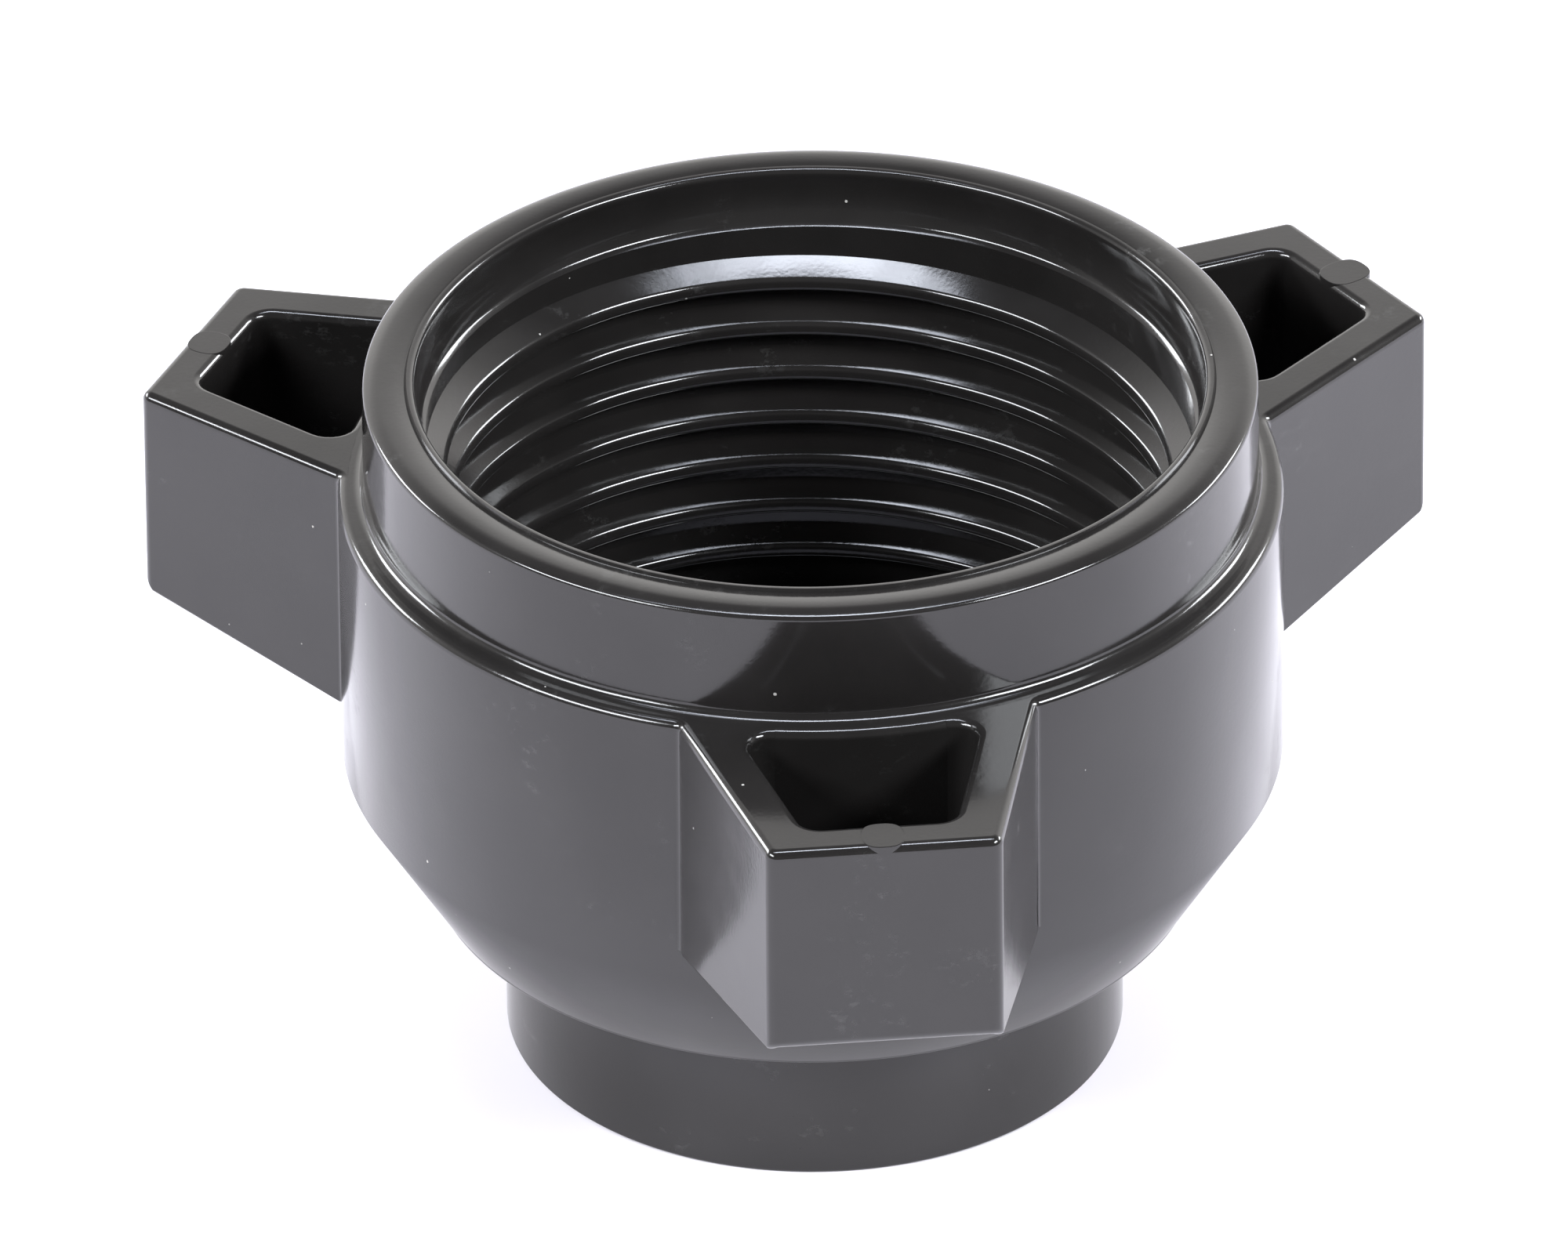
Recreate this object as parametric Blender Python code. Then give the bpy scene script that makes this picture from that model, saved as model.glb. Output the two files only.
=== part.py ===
"""Three-wing coupling nut for a 3/4 inch straight pipe thread, moulded in one piece of black plastic.

Lengths are in metres.  Heights are measured up from the end of the neck, and every section hangs
from one empty on the thread axis, so that the world origin lies on that axis at the nut's centroid.
The moulding is cut into its natural sections, each a closed solid.  The turned sections touch face
to face, and the wings stand a hair off the barrel.
"""
import math

import bmesh
import bpy
from mathutils import Vector

MM = 0.001

# Heights above the neck's end face.
CENTROID_HEIGHT = 14.26 * MM
TAPER_FOOT = 6.2 * MM
SEAT_HEIGHT = 8.4 * MM
BARREL_FOOT = 11.1 * MM
SHOULDER_HEIGHT = 21.45 * MM
STEP_HEIGHT = 23.75 * MM
RIM_HEIGHT = 25.6 * MM

# Outer radii.
NECK_RADIUS = 10.7 * MM
TAPER_FOOT_RADIUS = 13.35 * MM
BARREL_RADIUS = 16.25 * MM
COLLAR_FOOT_RADIUS = 15.4 * MM
COLLAR_TOP_RADIUS = 15.36 * MM

# Bore radii.
ENTRY_RADIUS = 13.7 * MM
STEP_RADIUS = 13.4 * MM
THREAD_MAJOR_RADIUS = 13.2 * MM
THREAD_MINOR_RADIUS = 12.35 * MM
NECK_BORE_RADIUS = 8.8 * MM

# The seat's ring ends here and the wall around it takes over, just inside the thread's crests.
SEAT_RING_RADIUS = 12.2 * MM

# Edge roundings.
SHARP_EDGE = 0.15 * MM
SHOULDER_EDGE = 0.3 * MM
COLLAR_FILLET = 0.35 * MM
RIM_EDGE = 0.4 * MM
RIM_INNER_EDGE = 0.25 * MM

# Right-hand thread, 14 turns to the inch, 60 degree flanks.
PITCH = 25.4 * MM / 14
FLANK_SLOPE = math.tan(math.radians(30))
CREST_HALF_WIDTH = 0.21 * MM
RIDGE_ROOT_RADIUS = 13.45 * MM
RIDGE_END_RADIUS = 13.3 * MM
PHASE_ANGLE = math.radians(84)
PHASE_HEIGHT = 21.75 * MM
THREAD_TOP_ANGLE = math.radians(252)
TOP_FADE = math.radians(120)
THREAD_TURNS = 7.1
BOTTOM_FADE = math.radians(60)

# Wings.
WING_REACH = 23.6 * MM
WING_TIP_HALF_WIDTH = 3.95 * MM
WING_FLANK_SLOPE = 0.254
WING_TIP_BOTTOM = 13.5 * MM
WING_UNDERSIDE_SLOPE = 0.168
WING_END_WALL = 1.5 * MM
WING_SIDE_WALL = 1.72 * MM
WING_FLOOR = 1.5 * MM
WING_EDGE = 0.3 * MM
POCKET_CORNER = 0.8 * MM
WING_GAP = 0.3 * MM

# A wing's block and pocket start inside the barrel, and its edges are rounded only outside it.
WING_ROOT_RADIUS = BARREL_RADIUS - 3 * MM
ROUNDED_FROM_RADIUS = BARREL_RADIUS - 2 * MM

# Hidden tools: how far they run past what they cut, and their size across the part.
OVERCUT = 1 * MM
TOOL_WIDTH = 40 * MM

STEPS = 60
ARC_STEPS = 3
WING_EDGE_STEPS = 2
POCKET_CORNER_STEPS = 3
SMOOTH_BELOW = math.radians(30)
SAME_PLACE = 0.0001 * MM
COLOUR = (0.028, 0.028, 0.030, 1.0)
ROUGHNESS = 0.32


def clear_scene():
    for obj in list(bpy.data.objects):
        bpy.data.objects.remove(obj, do_unlink=True)


def make_plastic(name):
    """Black injection-moulded plastic, one material for each section."""
    material = bpy.data.materials.new(name)
    material.use_nodes = True
    shader = material.node_tree.nodes["Principled BSDF"]
    shader.inputs["Base Color"].default_value = COLOUR
    shader.inputs["Roughness"].default_value = ROUGHNESS
    shader.inputs["Metallic"].default_value = 0.0
    return material


def new_object(name, mesh, parent):
    obj = bpy.data.objects.new(name, mesh)
    bpy.context.scene.collection.objects.link(obj)
    obj.parent = parent
    return obj


def hide_tool(obj):
    """A cutter or guide: seen as wires, never rendered."""
    obj.hide_render = True
    obj.display_type = "WIRE"


def boolean(obj, tool, operation):
    modifier = obj.modifiers.new(f"{operation.lower()}_{tool.name}", "BOOLEAN")
    modifier.operation = operation
    modifier.object = tool
    modifier.solver = "EXACT"


def arc(centre_x, centre_z, radius, start, end):
    """Points on a quarter round in the profile plane, angles in degrees."""
    points = []
    for i in range(ARC_STEPS + 1):
        angle = math.radians(start + (end - start) * i / ARC_STEPS)
        points.append((centre_x + radius * math.cos(angle), centre_z + radius * math.sin(angle)))
    return points


def body_profile():
    """The turned section: down the outside from the rim, then up through the bore."""
    rim = arc(COLLAR_TOP_RADIUS - RIM_EDGE, RIM_HEIGHT - RIM_EDGE, RIM_EDGE, 90, 0)
    fillet = arc(COLLAR_FOOT_RADIUS + COLLAR_FILLET, SHOULDER_HEIGHT + COLLAR_FILLET,
                 COLLAR_FILLET, 180, 270)
    shoulder = arc(BARREL_RADIUS - SHOULDER_EDGE, SHOULDER_HEIGHT - SHOULDER_EDGE,
                   SHOULDER_EDGE, 90, 0)
    taper = [(BARREL_RADIUS, BARREL_FOOT)]
    taper += arc(TAPER_FOOT_RADIUS - SHARP_EDGE, TAPER_FOOT + SHARP_EDGE, SHARP_EDGE, 0, -90)
    neck = [(NECK_RADIUS, TAPER_FOOT)]
    neck += arc(NECK_RADIUS - SHARP_EDGE, SHARP_EDGE, SHARP_EDGE, 0, -90)
    neck_bore = arc(NECK_BORE_RADIUS + SHARP_EDGE, SHARP_EDGE, SHARP_EDGE, 270, 180)
    neck_bore += [(NECK_BORE_RADIUS, SEAT_HEIGHT)]
    bore = [(THREAD_MAJOR_RADIUS, SEAT_HEIGHT)]
    bore += [(THREAD_MAJOR_RADIUS, STEP_HEIGHT - SHARP_EDGE), (STEP_RADIUS, STEP_HEIGHT)]
    entry = arc(ENTRY_RADIUS + RIM_INNER_EDGE, RIM_HEIGHT - RIM_INNER_EDGE, RIM_INNER_EDGE, 180, 90)
    return rim + fillet + shoulder + taper + neck + neck_bore + bore + entry


def make_body_mesh():
    """The whole turned body as a ring of edges, ready for the Screw modifier."""
    mesh = bpy.data.meshes.new("turned_body")
    shape = bmesh.new()
    ring = [shape.verts.new((x, 0.0, z)) for x, z in body_profile()]
    for i, vert in enumerate(ring):
        shape.edges.new((vert, ring[(i + 1) % len(ring)]))
    shape.to_mesh(mesh)
    shape.free()
    return mesh


def add_screw(obj):
    modifier = obj.modifiers.new("turn", "SCREW")
    modifier.axis = "Z"
    modifier.angle = math.tau
    modifier.steps = STEPS
    modifier.render_steps = STEPS
    modifier.use_merge_vertices = True
    modifier.merge_threshold = 0.00001


def crest_radius(turned, total):
    """The ridge sinks into the wall at both of its ends."""
    rise = min(1.0, turned / TOP_FADE, (total - turned) / BOTTOM_FADE)
    ease = math.sin(max(0.0, rise) * math.pi / 2)
    return RIDGE_END_RADIUS + (THREAD_MINOR_RADIUS - RIDGE_END_RADIUS) * ease


def ridge_section(turned, total):
    """Four corners of the thread's ridge where it has turned this far down from its start."""
    angle = THREAD_TOP_ANGLE - turned
    middle = PHASE_HEIGHT + PITCH * (angle - PHASE_ANGLE) / math.tau
    crest = crest_radius(turned, total)
    half_root = CREST_HALF_WIDTH + (RIDGE_ROOT_RADIUS - crest) * FLANK_SLOPE
    corners = ((RIDGE_ROOT_RADIUS, half_root), (crest, CREST_HALF_WIDTH),
               (crest, -CREST_HALF_WIDTH), (RIDGE_ROOT_RADIUS, -half_root))
    return [Vector((r * math.cos(angle), r * math.sin(angle), middle + up)) for r, up in corners]


def make_thread_ridge(parent):
    """One long ridge that runs down the bore and is joined to the sections it crosses."""
    total = THREAD_TURNS * math.tau
    count = round(THREAD_TURNS * STEPS)
    shape = bmesh.new()
    rows = []
    for i in range(count + 1):
        rows.append([shape.verts.new(p) for p in ridge_section(total * i / count, total)])
    for upper, lower in zip(rows, rows[1:]):
        for j in range(4):
            k = (j + 1) % 4
            shape.faces.new((upper[j], lower[j], lower[k], upper[k]))
    shape.faces.new(rows[0])
    shape.faces.new(rows[-1][::-1])
    bmesh.ops.recalc_face_normals(shape, faces=shape.faces)
    mesh = bpy.data.meshes.new("thread_ridge")
    shape.to_mesh(mesh)
    shape.free()
    ridge = new_object("thread_ridge", mesh, parent)
    hide_tool(ridge)
    return ridge


def make_slab(name, bottom, top, parent):
    """A block that keeps only the part of the body between two heights."""
    shape = bmesh.new()
    bmesh.ops.create_cube(shape, size=TOOL_WIDTH)
    for vert in shape.verts:
        vert.co.z = top if vert.co.z > 0 else bottom
    mesh = bpy.data.meshes.new(name)
    shape.to_mesh(mesh)
    shape.free()
    slab = new_object(name, mesh, parent)
    hide_tool(slab)
    return slab


def make_cylinder(name, radius, parent):
    """A tool around the thread axis, longer than the part."""
    shape = bmesh.new()
    bmesh.ops.create_cone(shape, cap_ends=True, segments=STEPS, radius1=radius, radius2=radius,
                          depth=TOOL_WIDTH)
    bmesh.ops.translate(shape, vec=(0, 0, CENTROID_HEIGHT), verts=shape.verts)
    mesh = bpy.data.meshes.new(name)
    shape.to_mesh(mesh)
    shape.free()
    cylinder = new_object(name, mesh, parent)
    hide_tool(cylinder)
    return cylinder


def make_section(name, bottom, top, body_mesh, parent, ridge=None):
    """One level of the turned body, joined to its stretch of the thread where it has one."""
    obj = new_object(name, body_mesh.copy(), parent)
    add_screw(obj)
    if ridge:
        boolean(obj, ridge, "UNION")
    boolean(obj, make_slab(f"slab_{name}", bottom, top, parent), "INTERSECT")
    finish(obj)
    return obj


def prism(name, outline, top, bottom_at):
    """A block standing on a sloping floor: outline points are (out, side) in the wing's frame."""
    shape = bmesh.new()
    upper = [shape.verts.new((side, -out, top)) for out, side in outline]
    lower = [shape.verts.new((side, -out, bottom_at(out))) for out, side in outline]
    shape.faces.new(upper)
    shape.faces.new(lower[::-1])
    for i in range(len(outline)):
        k = (i + 1) % len(outline)
        shape.faces.new((upper[i], lower[i], lower[k], upper[k]))
    bmesh.ops.recalc_face_normals(shape, faces=shape.faces)
    mesh = bpy.data.meshes.new(name)
    shape.to_mesh(mesh)
    shape.free()
    return mesh


def wing_underside(out):
    return WING_TIP_BOTTOM - WING_UNDERSIDE_SLOPE * (WING_REACH - out)


def pocket_floor(out):
    return wing_underside(out) + WING_FLOOR


def trapezoid(inner, outer, side_wall):
    """Plan outline between two distances from the axis, its sides set in by a wall."""
    corners = []
    for out in (inner, outer):
        half = WING_TIP_HALF_WIDTH + WING_FLANK_SLOPE * (WING_REACH - out) - side_wall
        corners.append((out, half))
    (near, wide), (far, narrow) = corners
    return [(near, wide), (far, narrow), (far, -narrow), (near, -wide)]


def bevel_edges(mesh, width, segments, wanted):
    shape = bmesh.new()
    shape.from_mesh(mesh)
    edges = [edge for edge in shape.edges if wanted(edge)]
    bmesh.ops.bevel(shape, geom=edges, offset=width, offset_type="OFFSET", segments=segments,
                    profile=0.5, affect="EDGES", clamp_overlap=True)
    shape.to_mesh(mesh)
    shape.free()


def is_upright(edge):
    a, b = edge.verts
    return abs(a.co.x - b.co.x) < SAME_PLACE and abs(a.co.y - b.co.y) < SAME_PLACE


def is_outside_edge(edge):
    """Every edge of the wing's block except the ones buried in the barrel."""
    return any(-vert.co.y > ROUNDED_FROM_RADIUS for vert in edge.verts)


def make_wing(name, angle, clearance, parent):
    """A hollow wing, open at the top, whose pocket is closed by the barrel."""
    block_plan = trapezoid(WING_ROOT_RADIUS, WING_REACH, 0.0)
    block = prism(name, block_plan, SHOULDER_HEIGHT, wing_underside)
    bevel_edges(block, WING_EDGE, WING_EDGE_STEPS, is_outside_edge)
    pocket_plan = trapezoid(WING_ROOT_RADIUS - OVERCUT, WING_REACH - WING_END_WALL, WING_SIDE_WALL)
    pocket_mesh = prism(f"pocket_{name}", pocket_plan, SHOULDER_HEIGHT + OVERCUT, pocket_floor)
    bevel_edges(pocket_mesh, POCKET_CORNER, POCKET_CORNER_STEPS, is_upright)
    pocket = new_object(f"pocket_{name}", pocket_mesh, parent)
    pocket.rotation_euler.z = angle
    hide_tool(pocket)
    wing = new_object(name, block, parent)
    wing.rotation_euler.z = angle
    boolean(wing, pocket, "DIFFERENCE")
    boolean(wing, clearance, "DIFFERENCE")
    finish(wing)


def finish(obj):
    """Smooth shading with sharp edges kept, and the section's own plastic."""
    obj.data.materials.append(make_plastic(f"{obj.name}_plastic"))
    obj.data.shade_smooth()
    obj.data.set_sharp_from_angle(angle=SMOOTH_BELOW)


def build():
    clear_scene()
    axis = bpy.data.objects.new("thread_axis", None)
    bpy.context.scene.collection.objects.link(axis)
    axis.location.z = -CENTROID_HEIGHT
    body_mesh = make_body_mesh()
    ridge = make_thread_ridge(axis)
    seat_ring = make_cylinder("seat_ring", SEAT_RING_RADIUS, axis)
    make_section("neck_sleeve", -OVERCUT, TAPER_FOOT, body_mesh, axis)
    seat_floor = make_section("seat_floor", TAPER_FOOT, SEAT_HEIGHT, body_mesh, axis)
    boolean(seat_floor, seat_ring, "INTERSECT")
    tapered_base = make_section("tapered_base", TAPER_FOOT, BARREL_FOOT, body_mesh, axis, ridge)
    boolean(tapered_base, seat_ring, "DIFFERENCE")
    make_section("threaded_barrel", BARREL_FOOT, SHOULDER_HEIGHT, body_mesh, axis, ridge)
    make_section("rim_collar", SHOULDER_HEIGHT, RIM_HEIGHT + OVERCUT, body_mesh, axis, ridge)
    clearance = make_cylinder("barrel_clearance", BARREL_RADIUS + WING_GAP, axis)
    for name, degrees in (("wing_front", 0), ("wing_right", 120), ("wing_left", -120)):
        make_wing(name, math.radians(degrees), clearance, axis)


build()
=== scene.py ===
"""The wing nut as it looks: a glossy black moulding with an internal thread and hollow wings.

Every length is in metres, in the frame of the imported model: +Z runs along the thread's axis.
"""
import math

import bmesh
import bpy
from mathutils import Matrix, Vector


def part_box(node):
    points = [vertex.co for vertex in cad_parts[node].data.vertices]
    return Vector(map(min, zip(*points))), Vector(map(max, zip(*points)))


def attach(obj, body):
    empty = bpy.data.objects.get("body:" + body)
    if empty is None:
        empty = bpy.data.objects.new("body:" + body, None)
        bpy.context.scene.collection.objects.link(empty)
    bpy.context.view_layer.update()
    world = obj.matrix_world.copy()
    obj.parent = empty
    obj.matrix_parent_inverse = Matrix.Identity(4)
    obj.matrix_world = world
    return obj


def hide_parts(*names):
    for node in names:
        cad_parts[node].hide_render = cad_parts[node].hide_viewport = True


MM = 0.001
TURNED_PIECES = ("turned_body", "internal_thread")

# Turned body: radii and edge roundings that the nodes' boxes don't give. The rim's outer edge is
# a wide roll until it faces RIM_ROLL_TO degrees above level, and from there a tight one.
TAPER_FOOT_RADIUS = 13.35 * MM
COLLAR_FOOT_RADIUS = 15.4 * MM
COLLAR_TOP_RADIUS = 15.36 * MM
COLLAR_FILLET = 0.35 * MM
RIM_ROLL = 1.0 * MM
RIM_ROLL_TO = 62
RIM_EDGE = 0.2 * MM
SHOULDER_EDGE = 0.33 * MM
ENTRY_RADIUS = 13.7 * MM
STEP_RADIUS = 13.4 * MM
STEP_DEPTH = 1.85 * MM
STEP_CORNER_IN = 0.05 * MM
STEP_CORNER_DOWN = 0.03 * MM
STEP_CORNER_UP = 0.04 * MM
BORE_RADIUS = 13.2 * MM
NECK_BORE_RADIUS = 8.8 * MM
SHARP_EDGE = 0.12 * MM

# A fine lip that the mould's core left around the mouth; it stands on the rim's face.
LIP_RADIUS = 13.57 * MM
LIP_HEIGHT = 0.1 * MM
LIP_EDGE = 0.2 * MM
LIP_FLAT = 0.07 * MM
LIP_FALL = 0.05 * MM
LIP_SEAM = 0.03 * MM
LIP_ROOT_DEPTH = 0.8 * MM

# Right-hand thread: 14 turns to the inch, 60 degree flanks. At PHASE_ANGLE, a crest's middle
# is PHASE_BELOW_RIM under the rim's face. The ridge rises from the wall over TOP_FADE, and sinks
# into it over BOTTOM_FADE.
PITCH = 25.4 * MM / 14
FLANK_SLOPE = math.tan(math.radians(30))
CREST_RADIUS = 12.35 * MM
CREST_HALF_WIDTH = 0.21 * MM
CREST_ROUNDING = 0.24 * MM
RIDGE_ROOT_RADIUS = 13.45 * MM
RIDGE_END_RADIUS = 13.3 * MM
PHASE_ANGLE = math.radians(84)
PHASE_BELOW_RIM = 3.85 * MM
THREAD_TOP_ANGLE = math.radians(252)
THREAD_TURNS = 7.1
TOP_FADE = math.radians(120)
BOTTOM_FADE = math.radians(60)

# Wings: names and directions in degrees from the front; then size at the tip, slopes away from
# it, walls and edge roundings.
WINGS = (("wing_front", 0), ("wing_right", 120), ("wing_left", -120))
WING_TIP_HALF_WIDTH = 3.95 * MM
WING_FLANK_SLOPE = 0.254
WING_TIP_DEPTH = 7.95 * MM
WING_UNDERSIDE_SLOPE = 0.168
WING_END_WALL = 1.5 * MM
WING_SIDE_WALL = 1.72 * MM
WING_FLOOR = 1.5 * MM
WING_ROOT_FILLET = 0.35 * MM
WING_TIP_CORNER = 0.45 * MM
WING_TIP_BOTTOM_EDGE = 0.45 * MM
WING_FLANK_BOTTOM_EDGE = 0.15 * MM
POCKET_CORNER = 0.8 * MM
POCKET_EDGE = 0.3 * MM

# Marks that the ejector pins left on the wings' end walls. PAD_OVERHANG is how far each reaches
# past the wing's end, and PAD_BREAK where its bevel changes slope, as a share of PAD_EDGE.
PAD_HALF_WIDTH = 0.74 * MM
PAD_RISE = 0.012 * MM
PAD_DEPTH = 0.4 * MM
PAD_EDGE = 0.03 * MM
PAD_OVERHANG = {"wing_front": 0.0, "wing_right": 0.22 * MM, "wing_left": -0.1 * MM}
PAD_BREAK = 0.3
PAD_SQUARENESS = 0.75

# How finely curves are divided; the thread's steps are for one turn.
EDGE_STEPS = 6
CORNER_STEPS = 8
LEG_END_STEPS = 4
PAD_STEPS = 48
LATHE_STEPS = 360
THREAD_STEPS = 240

# Shading: where a face's edge counts as sharp, and how strongly big faces steer the normals.
SHARP_FROM = math.radians(35)
NORMAL_WEIGHT = 80

# Plastic: colours, roughness, and the sizes and heights of the surface's marks. Each RANGE is
# the part of a noise's values over which its mark fades in.
IOR = 1.5
PLASTIC_DARK = (0.011, 0.0102, 0.0098, 1.0)
PLASTIC_LIGHT = (0.014, 0.013, 0.0125, 1.0)
ROUGHNESS_LOW = 0.1
ROUGHNESS_HIGH = 0.15
CLOUD_SIZE = 3.0 * MM
CLOUD_RANGE = (0.3, 0.7)
GRAIN_SIZE = 0.16 * MM
GRAIN_HEIGHT = 0.0014 * MM
WAVE_SIZE = 2.5 * MM
WAVE_HEIGHT = 0.008 * MM
RING_SIZE = 0.35 * MM
RING_HEIGHT = 0.0012 * MM
SCUFF_PATCH = 3.5 * MM
SCUFF_PATCH_RANGE = (0.55, 0.75)
SCUFF_STROKE = 0.35 * MM
SCUFF_STROKE_RANGE = (0.55, 0.7)
SCUFF_STRETCH = (0.6, 0.6, 1.0)
SCUFF_COLOUR = (0.04, 0.039, 0.038, 1.0)
SCUFF_ROUGHNESS = 0.12
SCUFF_HEIGHT = 0.001 * MM
SPECK_SPACING = 1.4 * MM
SPECK_SHARE = 0.75
SPECK_RADIUS = 0.06 * MM
DUST_COLOUR = (0.34, 0.33, 0.31, 1.0)
DUST_ROUGHNESS = 0.6
DUST_HEIGHT = 0.01 * MM

# Camera: where it stands as seen from the nut, and what it aims at. The lens and the sensor's
# width are in millimetres, as Blender takes them.
VIEW_AZIMUTH = math.radians(-5.77)
VIEW_ELEVATION = math.radians(32.11)
VIEW_ROLL = math.radians(-0.478)
VIEW_DISTANCE = 920.7 * MM
VIEW_AIM_X = -0.96 * MM
VIEW_AIM_Y = 0.1 * MM
VIEW_AIM_ABOVE_FLOOR = 15.49 * MM
LENS = 613.5
SENSOR_WIDTH = 36
NEAREST = 0.05
FARTHEST = 20

# Floor.
FLOOR_HALF_SIZE = 3.0
FLOOR_COLOUR = (0.8, 0.768, 0.805, 1.0)
FLOOR_ROUGHNESS = 0.9
FLOOR_SPECULAR = 0.1

# Light: azimuth and elevation in degrees, distance, width, height, radiance and colour of each
# panel. A radiance of 1 is the white at which the picture clips. The overhead panels are stacked
# a little apart, so that their light adds up in the middle and fades towards the ends.
COOL_WHITE = (0.93, 0.96, 1.0)
SKY_WHITE = (0.84, 0.89, 1.0)
PANELS = (
    ("overhead_core", 0, 88.5, 1.79, 0.5, 0.24, 7, SKY_WHITE),
    ("overhead_inner", 0, 88.5, 1.8, 0.9, 0.24, 8, SKY_WHITE),
    ("overhead_outer", 0, 88.5, 1.81, 1.31, 0.24, 8, SKY_WHITE),
    ("overhead_spill", 0, 88.5, 1.82, 1.68, 0.24, 6, SKY_WHITE),
    ("front_right", 55, 35, 1.8, 0.85, 0.4, 42, COOL_WHITE),
    ("back_right", 114, 22, 1.8, 0.75, 0.4, 26, COOL_WHITE),
    ("front_left", -66, 35, 1.8, 1.15, 0.4, 30, COOL_WHITE),
    ("back_left", -127, 22, 1.8, 0.8, 0.4, 26, COOL_WHITE),
)
# The room's brightness on the camera's side and behind the nut, and the share of it that is left
# overhead. The spans are of a view direction's Y and Z, over which it changes.
ROOM_COLOUR = (1.0, 0.98, 0.96, 1.0)
ROOM_DEPTH_SPAN = (-0.2, 0.6)
ROOM_HEIGHT_SPAN = (0.4, 0.75)
ROOM_FRONT = 0.12
ROOM_BACK = 1.9
ROOM_TOP_SHARE = 0.08


def arc(centre, radius, start, end, steps):
    """Points along an arc, angles in degrees."""
    points = []
    for i in range(steps + 1):
        angle = math.radians(start + (end - start) * i / steps)
        points.append((centre[0] + radius * math.cos(angle), centre[1] + radius * math.sin(angle)))
    return points


def link_object(name, data):
    """A new object in the scene."""
    obj = bpy.data.objects.new(name, data)
    bpy.context.scene.collection.objects.link(obj)
    return obj


def make_object(name, shape):
    """An object from a finished bmesh, shaded smooth apart from its sharp edges."""
    bmesh.ops.recalc_face_normals(shape, faces=shape.faces)
    mesh = bpy.data.meshes.new(name)
    shape.to_mesh(mesh)
    shape.free()
    obj = link_object(name, mesh)
    mesh.shade_smooth()
    mesh.set_sharp_from_angle(angle=SHARP_FROM)
    modifier = obj.modifiers.new("even_normals", "WEIGHTED_NORMAL")
    modifier.keep_sharp = True
    modifier.weight = NORMAL_WEIGHT
    return obj


def body_levels():
    """The heights of the turned body's steps, read from the frame."""
    return {
        "neck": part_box("neck_sleeve")[0].z,
        "taper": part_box("neck_sleeve")[1].z,
        "seat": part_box("seat_floor")[1].z,
        "barrel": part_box("threaded_barrel")[0].z,
        "shoulder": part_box("threaded_barrel")[1].z,
        "rim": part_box("rim_collar")[1].z,
    }


def body_profile(level, barrel_radius, neck_radius):
    """Closed section of the turned body, from the rim down the outside and up the bore."""
    roll_end = math.radians(RIM_ROLL_TO)
    edge_centre = (COLLAR_TOP_RADIUS - RIM_EDGE,
                   level["rim"] - RIM_ROLL + (RIM_ROLL - RIM_EDGE) * math.sin(roll_end))
    roll_centre = (edge_centre[0] - (RIM_ROLL - RIM_EDGE) * math.cos(roll_end),
                   level["rim"] - RIM_ROLL)
    rim = arc(roll_centre, RIM_ROLL, 90, RIM_ROLL_TO, EDGE_STEPS)
    rim += arc(edge_centre, RIM_EDGE, RIM_ROLL_TO, 0, EDGE_STEPS)[1:]
    fillet = arc((COLLAR_FOOT_RADIUS + COLLAR_FILLET, level["shoulder"] + COLLAR_FILLET),
                 COLLAR_FILLET, 180, 270, EDGE_STEPS)
    shoulder = arc((barrel_radius - SHOULDER_EDGE, level["shoulder"] - SHOULDER_EDGE),
                   SHOULDER_EDGE, 90, 0, EDGE_STEPS)
    points = rim + fillet + shoulder
    points += [(barrel_radius, level["barrel"])]
    points += arc((TAPER_FOOT_RADIUS - SHARP_EDGE, level["taper"] + SHARP_EDGE), SHARP_EDGE,
                  0, -90, EDGE_STEPS)
    points += [(neck_radius, level["taper"])]
    points += arc((neck_radius - SHARP_EDGE, level["neck"] + SHARP_EDGE), SHARP_EDGE,
                  0, -90, EDGE_STEPS)
    points += arc((NECK_BORE_RADIUS + SHARP_EDGE, level["neck"] + SHARP_EDGE), SHARP_EDGE,
                  270, 180, EDGE_STEPS)
    points += arc((NECK_BORE_RADIUS + SHARP_EDGE, level["seat"] - SHARP_EDGE), SHARP_EDGE,
                  180, 90, EDGE_STEPS)
    step = level["rim"] - STEP_DEPTH
    points += [(BORE_RADIUS, level["seat"]), (BORE_RADIUS, step - SHARP_EDGE)]
    points += [(STEP_RADIUS - STEP_CORNER_IN, step - STEP_CORNER_DOWN),
               (STEP_RADIUS, step + STEP_CORNER_UP)]
    points += [(ENTRY_RADIUS, level["rim"] - LIP_ROOT_DEPTH),
               (LIP_RADIUS, level["rim"] - LIP_EDGE)]
    points += arc((LIP_RADIUS + LIP_EDGE, level["rim"] + LIP_HEIGHT - LIP_EDGE), LIP_EDGE,
                  180, 90, EDGE_STEPS)
    crest_end = LIP_RADIUS + LIP_EDGE + LIP_FLAT
    points += [(crest_end, level["rim"] + LIP_HEIGHT),
               (crest_end + LIP_FALL, level["rim"] - LIP_SEAM),
               (crest_end + LIP_FALL + 2 * LIP_SEAM, level["rim"])]
    return points


def make_turned_body(level, barrel_radius, neck_radius):
    """The section swept right round the axis."""
    profile = body_profile(level, barrel_radius, neck_radius)
    shape = bmesh.new()
    rows = []
    for i in range(LATHE_STEPS):
        angle = math.tau * i / LATHE_STEPS
        rows.append([shape.verts.new((r * math.cos(angle), r * math.sin(angle), z))
                     for r, z in profile])
    for i, row in enumerate(rows):
        following = rows[(i + 1) % LATHE_STEPS]
        for j in range(len(profile)):
            k = (j + 1) % len(profile)
            shape.faces.new((row[j], row[k], following[k], following[j]))
    return make_object("turned_body", shape)


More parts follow.
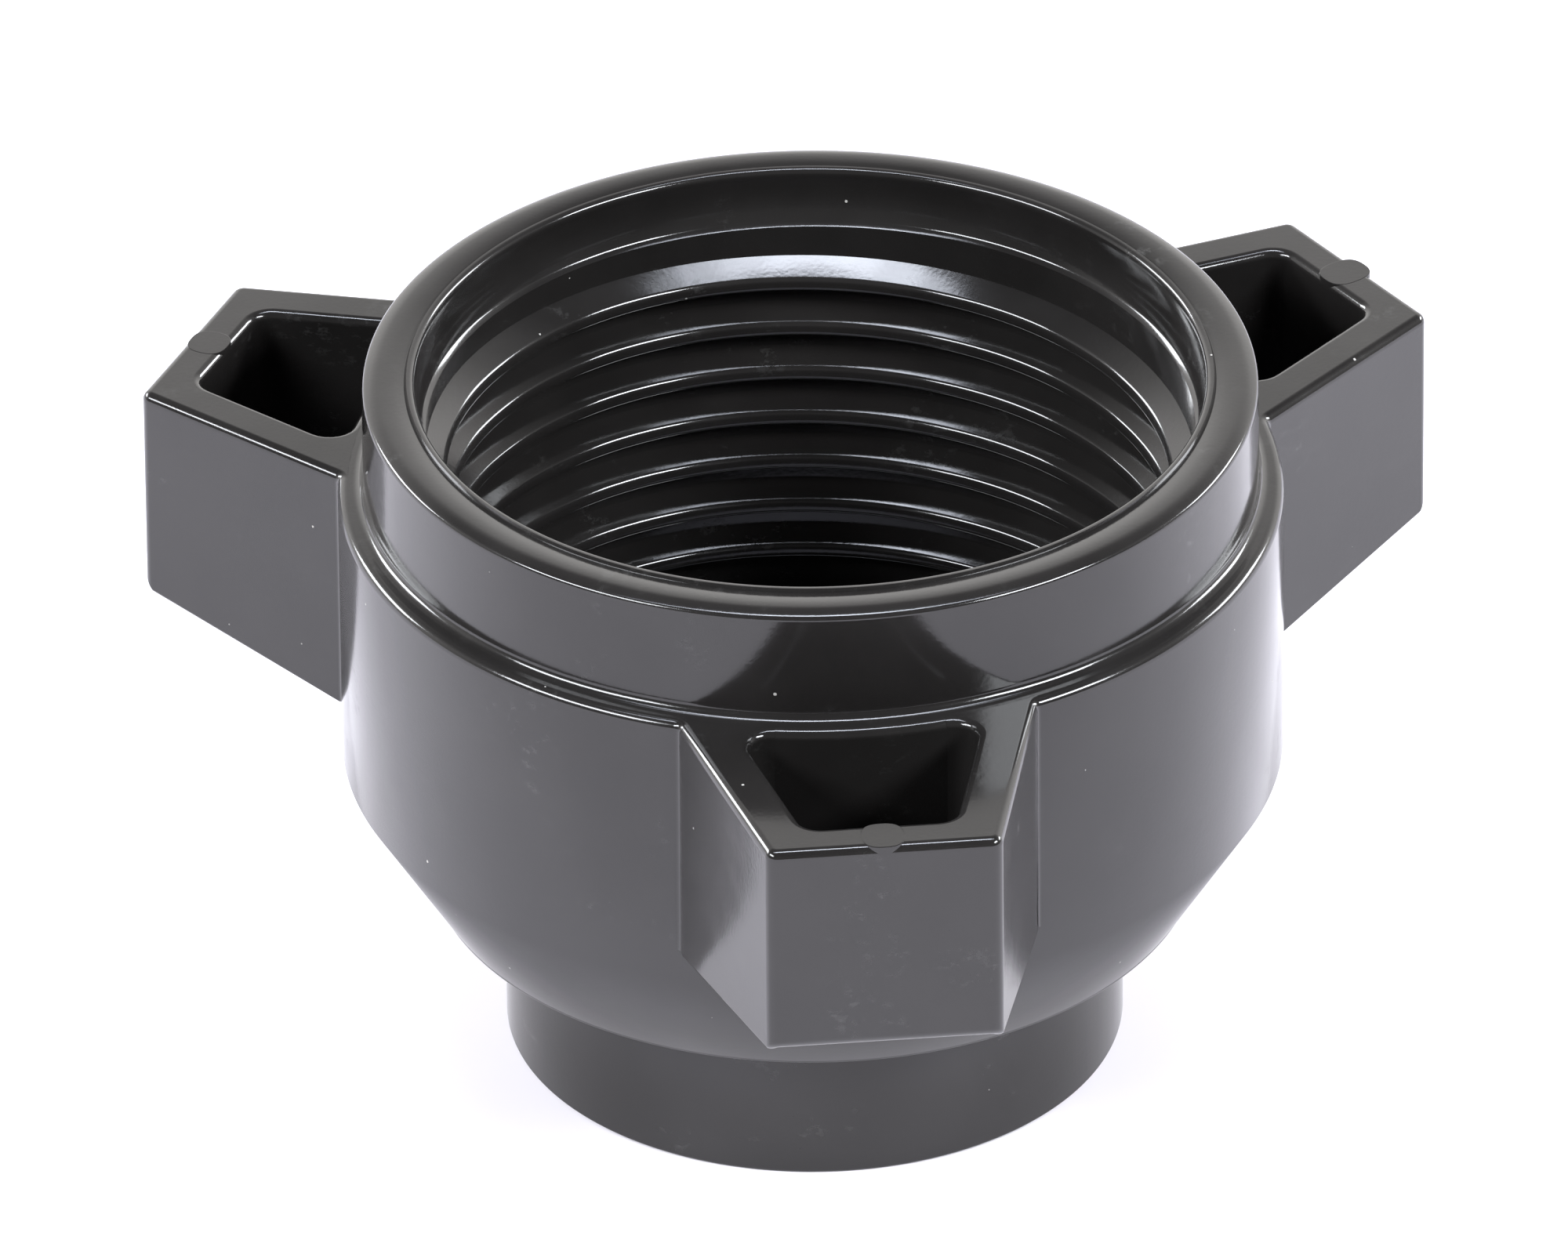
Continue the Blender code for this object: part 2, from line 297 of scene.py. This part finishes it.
def ridge_profile(crest):
    """Section of the thread's ridge with rounded crest corners, from upper root to lower root."""
    flank = math.degrees(math.atan(1 / FLANK_SLOPE))
    half_root = CREST_HALF_WIDTH + (RIDGE_ROOT_RADIUS - crest) * FLANK_SLOPE
    upper = arc((crest + CREST_ROUNDING, CREST_HALF_WIDTH - CREST_ROUNDING * FLANK_SLOPE),
                CREST_ROUNDING, 180 - flank, 180, EDGE_STEPS)
    lower = [(r, -z) for r, z in reversed(upper)]
    return [(RIDGE_ROOT_RADIUS, half_root)] + upper + lower + [(RIDGE_ROOT_RADIUS, -half_root)]


def make_thread(level):
    """One long ridge down the bore, sinking into the wall at both ends."""
    total = THREAD_TURNS * math.tau
    count = round(THREAD_TURNS * THREAD_STEPS)
    shape = bmesh.new()
    rows = []
    for i in range(count + 1):
        turned = total * i / count
        angle = THREAD_TOP_ANGLE - turned
        rise = max(0.0, min(1.0, turned / TOP_FADE, (total - turned) / BOTTOM_FADE))
        crest = RIDGE_END_RADIUS + (CREST_RADIUS - RIDGE_END_RADIUS) * math.sin(rise * math.pi / 2)
        middle = level["rim"] - PHASE_BELOW_RIM + PITCH * (angle - PHASE_ANGLE) / math.tau
        rows.append([shape.verts.new((r * math.cos(angle), r * math.sin(angle), middle + up))
                     for r, up in ridge_profile(crest)])
    for upper, lower in zip(rows, rows[1:]):
        for j in range(len(upper)):
            k = (j + 1) % len(upper)
            shape.faces.new((upper[j], lower[j], lower[k], upper[k]))
    shape.faces.new(rows[0])
    shape.faces.new(rows[-1][::-1])
    return make_object("internal_thread", shape)


def turn(start, end, steps):
    """Unit directions turning the short way from one direction to another."""
    a = math.atan2(start.y, start.x)
    b = math.atan2(end.y, end.x)
    gap = (b - a + math.pi) % math.tau - math.pi
    return [Vector((math.cos(a + gap * i / steps), math.sin(a + gap * i / steps)))
            for i in range(steps + 1)]


def mirrored(chain):
    """A half outline of (point, outward direction) pairs, followed by its mirror image."""
    flip = [(Vector((p.x, -p.y)), Vector((m.x, -m.y))) for p, m in reversed(chain)]
    return chain + flip


def flank_normal():
    """The direction that a wing's flank faces, in plan."""
    return Vector((WING_FLANK_SLOPE, 1.0)).normalized()


def wing_outline(reach, barrel_radius):
    """Plan of the wing's outside: (out, side) points with the directions their walls face."""
    normal = flank_normal()
    along = Vector((normal.y, -normal.x))
    offset = normal.dot(Vector((reach, WING_TIP_HALF_WIDTH)))
    lift = offset + WING_ROOT_FILLET
    run = math.sqrt((barrel_radius + WING_ROOT_FILLET) ** 2 - lift ** 2)
    centre = normal * lift + along * run
    root = [(centre - WING_ROOT_FILLET * m, m)
            for m in turn(centre.normalized(), normal, CORNER_STEPS)]
    corner_out = reach - WING_TIP_CORNER
    corner = Vector((corner_out, (offset - WING_TIP_CORNER - normal.x * corner_out) / normal.y))
    tip = [(corner + WING_TIP_CORNER * m, m)
           for m in turn(normal, Vector((1, 0)), CORNER_STEPS)]
    return mirrored(root + tip)


def pocket_outline(reach, barrel_radius):
    """Plan of the wing's pocket, from one barrel tangent to the other; its walls face inwards."""
    normal = flank_normal()
    along = Vector((normal.y, -normal.x))
    offset = normal.dot(Vector((reach, WING_TIP_HALF_WIDTH)))
    lift = offset - WING_SIDE_WALL - POCKET_CORNER
    run = math.sqrt((barrel_radius + POCKET_CORNER) ** 2 - lift ** 2)
    centre = normal * lift + along * run
    root = [(centre - POCKET_CORNER * m, m)
            for m in turn(centre.normalized(), -normal, CORNER_STEPS)]
    corner_out = reach - WING_END_WALL - POCKET_CORNER
    corner = Vector((corner_out, (lift - normal.x * corner_out) / normal.y))
    tip = [(corner - POCKET_CORNER * m, m)
           for m in turn(-normal, Vector((-1, 0)), CORNER_STEPS)]
    return mirrored(root + tip)


def rounded_rows(shape, chain, top, radius, place):
    """Rows of points from the flat top, over the rounded edge, to the wall."""
    rows = []
    for i in range(EDGE_STEPS + 1):
        angle = math.radians(90 * (1 - i / EDGE_STEPS))
        inset = radius * (1 - math.cos(angle))
        height = top - radius + radius * math.sin(angle)
        rows.append([shape.verts.new(place(p - inset * m, height)) for p, m in chain])
    return rows


def bottom_edge_radius(direction):
    """The tip's bottom edge is rounder than the flanks'."""
    flank = flank_normal().x
    share = max(0.0, (direction.x - flank) / (1 - flank))
    return WING_FLANK_BOTTOM_EDGE + (WING_TIP_BOTTOM_EDGE - WING_FLANK_BOTTOM_EDGE) * share


def underside_rows(shape, chain, underside, place):
    """Rows of points from the wall, over the rounded bottom edge, to the underside."""
    rows = []
    for i in range(EDGE_STEPS + 1):
        turned = math.radians(90 * i / EDGE_STEPS)
        row = []
        for p, m in chain:
            radius = bottom_edge_radius(m)
            inset = radius * (1 - math.cos(turned))
            height = underside(p) + radius * (1 - math.sin(turned))
            row.append(shape.verts.new(place(p - inset * m, height)))
        rows.append(row)
    return rows


def bridge(shape, rows):
    """Faces between each row of points and the next."""
    for upper, lower in zip(rows, rows[1:]):
        for j in range(len(upper) - 1):
            shape.faces.new((upper[j], lower[j], lower[j + 1], upper[j + 1]))


def make_wing(name, angle, level, reach, barrel_radius):
    """A hollow wing: its legs and floor end inside the barrel's wall, which closes the pocket."""
    top = level["shoulder"]
    spin = Matrix.Rotation(angle, 3, "Z")

    def place(point, height):
        return spin @ Vector((point.y, -point.x, height))

    def underside(point):
        return top - WING_TIP_DEPTH - WING_UNDERSIDE_SLOPE * (reach - point.x)

    outline = wing_outline(reach, barrel_radius)
    pocket = pocket_outline(reach, barrel_radius)
    shape = bmesh.new()
    outer = rounded_rows(shape, outline, top, SHOULDER_EDGE, place)
    outer += underside_rows(shape, outline, underside, place)
    inner = rounded_rows(shape, pocket, top, POCKET_EDGE, place)
    inner.append([shape.verts.new(place(p, underside(p) + WING_FLOOR)) for p, m in pocket])
    bridge(shape, outer)
    bridge(shape, inner)
    near = [shape.verts.new(v) for v in leg_end(outer[0][0].co, inner[0][0].co)]
    far = [shape.verts.new(v) for v in leg_end(outer[0][-1].co, inner[0][-1].co)]
    inner_up = inner[::-1]
    shape.faces.new(outer[0] + far + inner[0][::-1] + near[::-1])
    shape.faces.new([row[0] for row in outer] + [row[0] for row in inner_up] + near[::-1])
    shape.faces.new([row[-1] for row in outer] + [row[-1] for row in inner_up] + far[::-1])
    shape.faces.new(outer[-1])
    shape.faces.new(inner[-1])
    shape.faces.new((outer[-1][0], inner[-1][0], inner[-1][-1], outer[-1][-1]))
    return make_object(name, shape)


def make_pad(name, angle, level, reach, overhang):
    """The ejector pin's mark: a rounded disc, almost flush with the top of the end wall."""
    spin = Matrix.Rotation(angle, 3, "Z")
    near = reach - WING_END_WALL
    far = reach + overhang
    middle = (near + far) / 2
    top = level["shoulder"] + PAD_RISE
    broken = PAD_EDGE * PAD_BREAK
    rings = ((PAD_EDGE, top), (broken, top - broken), (0.0, top - PAD_EDGE),
             (0.0, top - PAD_DEPTH))
    shape = bmesh.new()
    rows = []
    for inset, height in rings:
        row = []
        for i in range(PAD_STEPS):
            turned = math.tau * i / PAD_STEPS
            out = middle + ((far - near) / 2 - inset) * squared(math.cos(turned))
            side = (PAD_HALF_WIDTH - inset) * squared(math.sin(turned))
            row.append(shape.verts.new(spin @ Vector((side, -out, height))))
        rows.append(row)
    for upper, lower in zip(rows, rows[1:]):
        for i in range(PAD_STEPS):
            k = (i + 1) % PAD_STEPS
            shape.faces.new((upper[i], lower[i], lower[k], upper[k]))
    shape.faces.new(rows[0])
    shape.faces.new(rows[-1][::-1])
    return make_object(name, shape)


def squared(value):
    """Pushes a circle's sine or cosine outwards, towards a rounded square."""
    return math.copysign(abs(value) ** PAD_SQUARENESS, value)


def leg_end(start, end):
    """Points between two corners, kept on the circle through the first about the axis."""
    radius = math.hypot(start.x, start.y)
    points = []
    for i in range(1, LEG_END_STEPS):
        flat = start.lerp(end, i / LEG_END_STEPS)
        scale = radius / math.hypot(flat.x, flat.y)
        points.append((flat.x * scale, flat.y * scale, flat.z))
    return points


def add_node(tree, kind, links=(), **settings):
    """A shader node with its settings, fed by (input name, source output) pairs."""
    node = tree.nodes.new(kind)
    for key, value in settings.items():
        if key in node.inputs:
            node.inputs[key].default_value = value
        else:
            setattr(node, key, value)
    for name, source in links:
        tree.links.new(source, node.inputs[name])
    return node


def noise(tree, coordinates, size, detail=2.0, roughness=0.5):
    """Noise with features of about the given size."""
    node = add_node(tree, "ShaderNodeTexNoise", [("Vector", coordinates)],
                    Scale=1 / size, Detail=detail, Roughness=roughness)
    return node.outputs["Fac"]


def remap(tree, value, span, result=(0.0, 1.0)):
    """Turns a span of values into another, and holds those beyond its ends."""
    node = add_node(tree, "ShaderNodeMapRange", [("Value", value)])
    numbers = (("From Min", span[0]), ("From Max", span[1]),
               ("To Min", result[0]), ("To Max", result[1]))
    for key, number in numbers:
        node.inputs[key].default_value = number
    return node.outputs["Result"]


def combine(tree, operation, first, second):
    """A maths node on two values, each from another node or a number."""
    node = tree.nodes.new("ShaderNodeMath")
    node.operation = operation
    for socket, value in zip(node.inputs, (first, second)):
        if isinstance(value, float):
            socket.default_value = value
        else:
            tree.links.new(value, socket)
    return node.outputs["Value"]


def ring_coordinates(tree, place):
    """Coordinates that stay the same right round the axis, for marks left by a turned mould."""
    split = add_node(tree, "ShaderNodeSeparateXYZ", [("Vector", place)])
    across = combine(tree, "MULTIPLY", split.outputs["X"], split.outputs["X"])
    along = combine(tree, "MULTIPLY", split.outputs["Y"], split.outputs["Y"])
    radius = combine(tree, "SQRT", combine(tree, "ADD", across, along), 0.0)
    joined = add_node(tree, "ShaderNodeCombineXYZ", [("X", radius), ("Z", split.outputs["Z"])])
    return joined.outputs["Vector"]


def speck_mask(tree, place):
    """Sparse round dots of dust, none bigger than SPECK_RADIUS."""
    cells = add_node(tree, "ShaderNodeTexVoronoi", [("Vector", place)], Scale=1 / SPECK_SPACING)
    pick = add_node(tree, "ShaderNodeSeparateColor", [("Color", cells.outputs["Color"])])
    size = remap(tree, pick.outputs["Red"], (1 - SPECK_SHARE, 1.0),
                 (0.0, SPECK_RADIUS / SPECK_SPACING))
    return combine(tree, "LESS_THAN", cells.outputs["Distance"], size)


def scuff_mask(tree, place):
    """Faint rubbed patches, broken up into short strokes."""
    patches = remap(tree, noise(tree, place, SCUFF_PATCH), SCUFF_PATCH_RANGE)
    stretched = add_node(tree, "ShaderNodeMapping", [("Vector", place)], Scale=SCUFF_STRETCH)
    strokes = noise(tree, stretched.outputs["Vector"], SCUFF_STROKE, detail=4.0, roughness=0.7)
    return combine(tree, "MULTIPLY", patches, remap(tree, strokes, SCUFF_STROKE_RANGE))


def mix_colour(tree, share, first, second):
    """Blends two colours; the first may come from another node."""
    node = tree.nodes.new("ShaderNodeMixRGB")
    tree.links.new(share, node.inputs["Fac"])
    if isinstance(first, tuple):
        node.inputs["Color1"].default_value = first
    else:
        tree.links.new(first, node.inputs["Color1"])
    node.inputs["Color2"].default_value = second
    return node.outputs["Color"]


def make_plastic(name, turned):
    """Glossy black moulding: fine grain, slight waves, faint scuffs and dust."""
    material = bpy.data.materials.new(name)
    material.use_nodes = True
    tree = material.node_tree
    shader = tree.nodes["Principled BSDF"]
    shader.inputs["IOR"].default_value = IOR
    place = tree.nodes.new("ShaderNodeTexCoord").outputs["Object"]
    scuffs = scuff_mask(tree, place)
    specks = speck_mask(tree, place)
    clouds = remap(tree, noise(tree, place, CLOUD_SIZE, detail=3.0), CLOUD_RANGE)

    colour = mix_colour(tree, clouds, PLASTIC_DARK, PLASTIC_LIGHT)
    colour = mix_colour(tree, scuffs, colour, SCUFF_COLOUR)
    colour = mix_colour(tree, specks, colour, DUST_COLOUR)
    tree.links.new(colour, shader.inputs["Base Color"])

    gloss = remap(tree, clouds, (0.0, 1.0), (ROUGHNESS_LOW, ROUGHNESS_HIGH))
    gloss = combine(tree, "ADD", gloss, combine(tree, "MULTIPLY", scuffs, SCUFF_ROUGHNESS))
    gloss = combine(tree, "ADD", gloss, combine(tree, "MULTIPLY", specks, DUST_ROUGHNESS))
    tree.links.new(gloss, shader.inputs["Roughness"])

    grain = noise(tree, place, GRAIN_SIZE, detail=1.0)
    relief = combine(tree, "MULTIPLY", grain, GRAIN_HEIGHT)
    waves = combine(tree, "MULTIPLY", noise(tree, place, WAVE_SIZE, detail=1.0), WAVE_HEIGHT)
    relief = combine(tree, "ADD", relief, waves)
    relief = combine(tree, "ADD", relief, combine(tree, "MULTIPLY", scuffs, SCUFF_HEIGHT))
    relief = combine(tree, "ADD", relief, combine(tree, "MULTIPLY", specks, DUST_HEIGHT))
    if turned:
        rings = noise(tree, ring_coordinates(tree, place), RING_SIZE)
        relief = combine(tree, "ADD", relief, combine(tree, "MULTIPLY", rings, RING_HEIGHT))
    bump = add_node(tree, "ShaderNodeBump", [("Height", relief)], Distance=1.0, Strength=1.0)
    tree.links.new(bump.outputs["Normal"], shader.inputs["Normal"])
    return material


def make_floor(height):
    """A plain white sheet that the neck stands on."""
    mesh = bpy.data.meshes.new("studio_floor")
    shape = bmesh.new()
    bmesh.ops.create_grid(shape, x_segments=1, y_segments=1, size=FLOOR_HALF_SIZE)
    bmesh.ops.translate(shape, vec=(0, 0, height), verts=shape.verts)
    shape.to_mesh(mesh)
    shape.free()
    floor = link_object("studio_floor", mesh)
    material = bpy.data.materials.new("white_paper")
    material.use_nodes = True
    shader = material.node_tree.nodes["Principled BSDF"]
    shader.inputs["Base Color"].default_value = FLOOR_COLOUR
    shader.inputs["Roughness"].default_value = FLOOR_ROUGHNESS
    shader.inputs["Specular IOR Level"].default_value = FLOOR_SPECULAR
    mesh.materials.append(material)


def make_panel(name, azimuth, elevation, distance, width, height, radiance, colour):
    """An evenly bright panel that faces the nut; azimuth runs from the front towards the right."""
    a = math.radians(azimuth)
    e = math.radians(elevation)
    light = bpy.data.lights.new(name, "AREA")
    light.shape = "RECTANGLE"
    light.size = width
    light.size_y = height
    light.energy = radiance * math.pi * width * height
    light.color = colour
    panel = link_object(name, light)
    outward = Vector((math.cos(e) * math.sin(a), -math.cos(e) * math.cos(a), math.sin(e)))
    panel.location = outward * distance
    panel.rotation_euler = (math.pi / 2 - e, 0, a)
    panel.visible_camera = False


def make_world():
    """A pale room behind the nut that darkens towards the camera's side and overhead."""
    world = bpy.data.worlds.new("studio")
    bpy.context.scene.world = world
    world.use_nodes = True
    tree = world.node_tree
    place = tree.nodes.new("ShaderNodeTexCoord").outputs["Generated"]
    split = add_node(tree, "ShaderNodeSeparateXYZ", [("Vector", place)])
    depth = remap(tree, split.outputs["Y"], ROOM_DEPTH_SPAN, (ROOM_FRONT, ROOM_BACK))
    height = remap(tree, split.outputs["Z"], ROOM_HEIGHT_SPAN, (1.0, ROOM_TOP_SHARE))
    background = tree.nodes["Background"]
    tree.links.new(combine(tree, "MULTIPLY", depth, height), background.inputs["Strength"])
    background.inputs["Color"].default_value = ROOM_COLOUR


def make_camera(floor_height):
    """A camera on the side that the front wing points to, looking down into the mouth."""
    data = bpy.data.cameras.new("camera")
    data.lens = LENS
    data.sensor_width = SENSOR_WIDTH
    data.clip_start = NEAREST
    data.clip_end = FARTHEST
    camera = link_object("camera", data)
    flat = math.cos(VIEW_ELEVATION)
    back = Vector((math.sin(VIEW_AZIMUTH) * flat, -math.cos(VIEW_AZIMUTH) * flat,
                   math.sin(VIEW_ELEVATION)))
    aim_point = Vector((VIEW_AIM_X, VIEW_AIM_Y, floor_height + VIEW_AIM_ABOVE_FLOOR))
    camera.location = aim_point + back * VIEW_DISTANCE
    aim = (-back).to_track_quat("-Z", "Y").to_matrix()
    camera.rotation_euler = (aim @ Matrix.Rotation(VIEW_ROLL, 3, "Z")).to_euler()
    bpy.context.scene.camera = camera


def make_pieces(level):
    """The pieces in pairs with the names of the nodes that each replaces."""
    barrel_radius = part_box("threaded_barrel")[1].x
    neck_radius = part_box("neck_sleeve")[1].x
    reach = -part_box("wing_front")[0].y
    pieces = [(make_turned_body(level, barrel_radius, neck_radius),
               ("neck_sleeve", "seat_floor", "tapered_base", "threaded_barrel", "rim_collar"))]
    pieces.append((make_thread(level), ()))
    for name, degrees in WINGS:
        angle = math.radians(degrees)
        wing = make_wing(f"{name}_moulding", angle, level, reach, barrel_radius)
        pieces.append((wing, (name,)))
        pad = make_pad(f"{name}_ejector_pad", angle, level, reach, PAD_OVERHANG[name])
        pieces.append((pad, ()))
    return pieces


def build():
    level = body_levels()
    plastic = make_plastic("black_plastic_moulded", False)
    turned_plastic = make_plastic("black_plastic_turned", True)
    for obj, nodes in make_pieces(level):
        obj.data.materials.append(turned_plastic if obj.name in TURNED_PIECES else plastic)
        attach(obj, "root")
        if nodes:
            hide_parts(*nodes)
    make_floor(level["neck"])
    make_world()
    make_camera(level["neck"])
    for panel in PANELS:
        make_panel(*panel)
    bpy.context.scene.view_settings.view_transform = "Standard"


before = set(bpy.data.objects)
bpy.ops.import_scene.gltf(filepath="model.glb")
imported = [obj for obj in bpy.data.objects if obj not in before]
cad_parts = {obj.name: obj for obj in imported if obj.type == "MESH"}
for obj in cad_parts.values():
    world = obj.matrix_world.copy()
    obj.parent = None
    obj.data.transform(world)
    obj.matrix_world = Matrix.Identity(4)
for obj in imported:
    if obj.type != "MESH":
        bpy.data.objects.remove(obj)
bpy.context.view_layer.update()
build()
